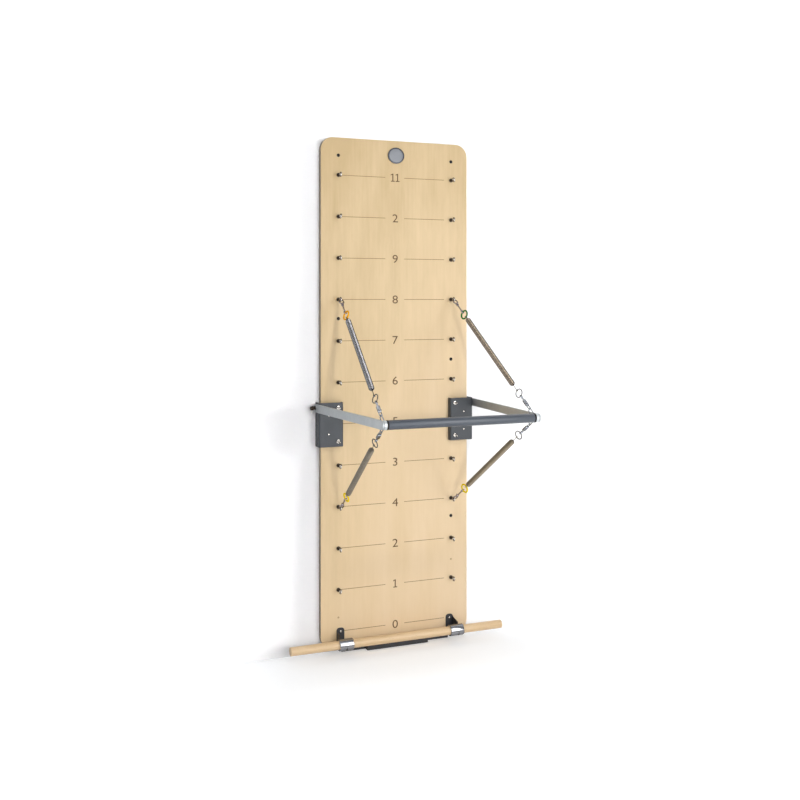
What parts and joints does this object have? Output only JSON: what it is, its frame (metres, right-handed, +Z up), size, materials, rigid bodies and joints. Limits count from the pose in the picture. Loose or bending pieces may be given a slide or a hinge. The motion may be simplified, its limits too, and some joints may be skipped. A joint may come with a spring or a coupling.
{
  "type": "pilates springboard",
  "caption": "Wall-mounted exercise springboard: tall board with rows of eyebolts, a swinging push bar held by coil springs with snap hooks, and a foot dowel in clamps.",
  "frame": {"origin": "centre of the board's back face, on the wall", "axes": "+X right as seen by the user facing the board, +Y into the wall, +Z up"},
  "size_m": [0.896, 0.6535, 2.018],
  "materials": {
    "birch": "satin",
    "beech": "satin",
    "slate_paint": "satin",
    "bar_paint": "satin",
    "black_paint": "satin",
    "aluminium": "satin",
    "dark_steel": "satin",
    "spring_steel": "satin",
    "chrome": "polished",
    "collar_silver": "satin",
    "ring_orange": "gloss",
    "ring_green": "gloss",
    "ring_yellow": "gloss"
  },
  "bodies": {
    "frame": {"board": "birch", "dowel": "beech", "base_foot": "black_paint", "arm_plate_left": "slate_paint", "pivot_bolt_left": "dark_steel", "dowel_clamp_left": "chrome", "dowel_bracket_left": "black_paint", "eyebolt_left_01": "dark_steel", "eyebolt_left_02": "dark_steel", "eyebolt_left_03": "dark_steel", "eyebolt_left_04": "dark_steel", "eyebolt_left_06": "dark_steel", "eyebolt_left_07": "dark_steel", "eyebolt_left_08": "dark_steel", "eyebolt_left_09": "dark_steel", "eyebolt_left_10": "dark_steel", "eyebolt_left_11": "dark_steel", "arm_plate_right": "slate_paint", "pivot_bolt_right": "dark_steel", "dowel_clamp_right": "chrome", "dowel_bracket_right": "black_paint", "eyebolt_right_01": "dark_steel", "eyebolt_right_02": "dark_steel", "eyebolt_right_03": "dark_steel", "eyebolt_right_04": "dark_steel", "eyebolt_right_06": "dark_steel", "eyebolt_right_07": "dark_steel", "eyebolt_right_08": "dark_steel", "eyebolt_right_09": "dark_steel", "eyebolt_right_10": "dark_steel", "eyebolt_right_11": "dark_steel"},
    "push_bar": {"push_tube": "bar_paint", "arm_left": "aluminium", "end_cap_left": "collar_silver", "arm_right": "aluminium", "end_cap_right": "collar_silver"},
    "head_upper_left": {"wall_hook_upper_left": "dark_steel", "colour_ring_upper_left": "ring_orange", "spring_upper_left": "spring_steel"},
    "tail_upper_left": {"plain_ring_upper_left": "chrome", "bar_hook_upper_left": "chrome"},
    "gate_upper_left": {"hook_gate_upper_left": "chrome"},
    "head_upper_right": {"wall_hook_upper_right": "dark_steel", "colour_ring_upper_right": "ring_green", "spring_upper_right": "spring_steel"},
    "tail_upper_right": {"plain_ring_upper_right": "chrome", "bar_hook_upper_right": "chrome"},
    "gate_upper_right": {"hook_gate_upper_right": "chrome"},
    "head_lower_left": {"wall_hook_lower_left": "dark_steel", "colour_ring_lower_left": "ring_yellow", "spring_lower_left": "spring_steel"},
    "tail_lower_left": {"plain_ring_lower_left": "chrome", "bar_hook_lower_left": "chrome"},
    "gate_lower_left": {"hook_gate_lower_left": "chrome"},
    "head_lower_right": {"wall_hook_lower_right": "dark_steel", "colour_ring_lower_right": "ring_yellow", "spring_lower_right": "spring_steel"},
    "tail_lower_right": {"plain_ring_lower_right": "chrome", "bar_hook_lower_right": "chrome"},
    "gate_lower_right": {"hook_gate_lower_right": "chrome"}
  },
  "joints": [
    {"name": "push_bar_swing", "type": "hinge", "parent": "frame", "child": "push_bar", "pos_m": [0, -0.027, -0.0565], "axis": [-1, 0, 0], "range_deg": [-20, 20], "stiffness_Nm_per_rad": 240, "springref_deg": 2.69},
    {"name": "spring_swing_upper_left", "type": "hinge", "parent": "frame", "child": "head_upper_left", "pos_m": [-0.243, -0.05, 0.365], "axis": [-1, 0, 0], "range_deg": [-13.28, 13.28]},
    {"name": "spring_stretch_upper_left", "type": "slide", "parent": "head_upper_left", "child": "tail_upper_left", "axis": [0, -0.8123, -0.5833], "range_m": [-0.1242, 0.1242], "deforming": ["spring_upper_left"]},
    {"name": "gate_slide_upper_left", "type": "slide", "parent": "tail_upper_left", "child": "gate_upper_left", "axis": [0.0646, 0.8106, 0.582], "range_m": [0, 0.006], "stiffness_N_per_m": 250, "springref_m": -0.004},
    {"name": "spring_swing_upper_right", "type": "hinge", "parent": "frame", "child": "head_upper_right", "pos_m": [0.243, -0.05, 0.365], "axis": [-1, 0, 0], "range_deg": [-13.28, 13.28]},
    {"name": "spring_stretch_upper_right", "type": "slide", "parent": "head_upper_right", "child": "tail_upper_right", "axis": [0, -0.8123, -0.5833], "range_m": [-0.1242, 0.1242], "deforming": ["spring_upper_right"]},
    {"name": "gate_slide_upper_right", "type": "slide", "parent": "tail_upper_right", "child": "gate_upper_right", "axis": [-0.0646, 0.8106, 0.582], "range_m": [0, 0.006], "stiffness_N_per_m": 250, "springref_m": -0.004},
    {"name": "spring_swing_lower_left", "type": "hinge", "parent": "frame", "child": "head_lower_left", "pos_m": [-0.243, -0.05, -0.4475], "axis": [-1, 0, 0], "range_deg": [-14, 14]},
    {"name": "spring_stretch_lower_left", "type": "slide", "parent": "head_lower_left", "child": "tail_lower_left", "axis": [0, -0.8323, 0.5544], "range_m": [-0.11805, 0.11805], "deforming": ["spring_lower_left"]},
    {"name": "gate_slide_lower_left", "type": "slide", "parent": "tail_lower_left", "child": "gate_lower_left", "axis": [0.0663, 0.8304, -0.5532], "range_m": [0, 0.006], "stiffness_N_per_m": 250, "springref_m": -0.004},
    {"name": "spring_swing_lower_right", "type": "hinge", "parent": "frame", "child": "head_lower_right", "pos_m": [0.243, -0.05, -0.4475], "axis": [-1, 0, 0], "range_deg": [-14, 14]},
    {"name": "spring_stretch_lower_right", "type": "slide", "parent": "head_lower_right", "child": "tail_lower_right", "axis": [0, -0.8323, 0.5544], "range_m": [-0.11805, 0.11805], "deforming": ["spring_lower_right"]},
    {"name": "gate_slide_lower_right", "type": "slide", "parent": "tail_lower_right", "child": "gate_lower_right", "axis": [-0.0663, 0.8304, -0.5532], "range_m": [0, 0.006], "stiffness_N_per_m": 250, "springref_m": -0.004}
  ],
  "couplings": [
    {"joint": "spring_swing_upper_left", "follows": "push_bar_swing", "ratio": 0.66404},
    {"joint": "spring_stretch_upper_left", "follows": "push_bar_swing", "m_per_rad": -0.35579},
    {"joint": "spring_swing_upper_right", "follows": "push_bar_swing", "ratio": 0.66404},
    {"joint": "spring_stretch_upper_right", "follows": "push_bar_swing", "m_per_rad": -0.35579},
    {"joint": "spring_swing_lower_left", "follows": "push_bar_swing", "ratio": 0.70003},
    {"joint": "spring_stretch_lower_left", "follows": "push_bar_swing", "m_per_rad": 0.33817},
    {"joint": "spring_swing_lower_right", "follows": "push_bar_swing", "ratio": 0.70003},
    {"joint": "spring_stretch_lower_right", "follows": "push_bar_swing", "m_per_rad": 0.33817}
  ]
}
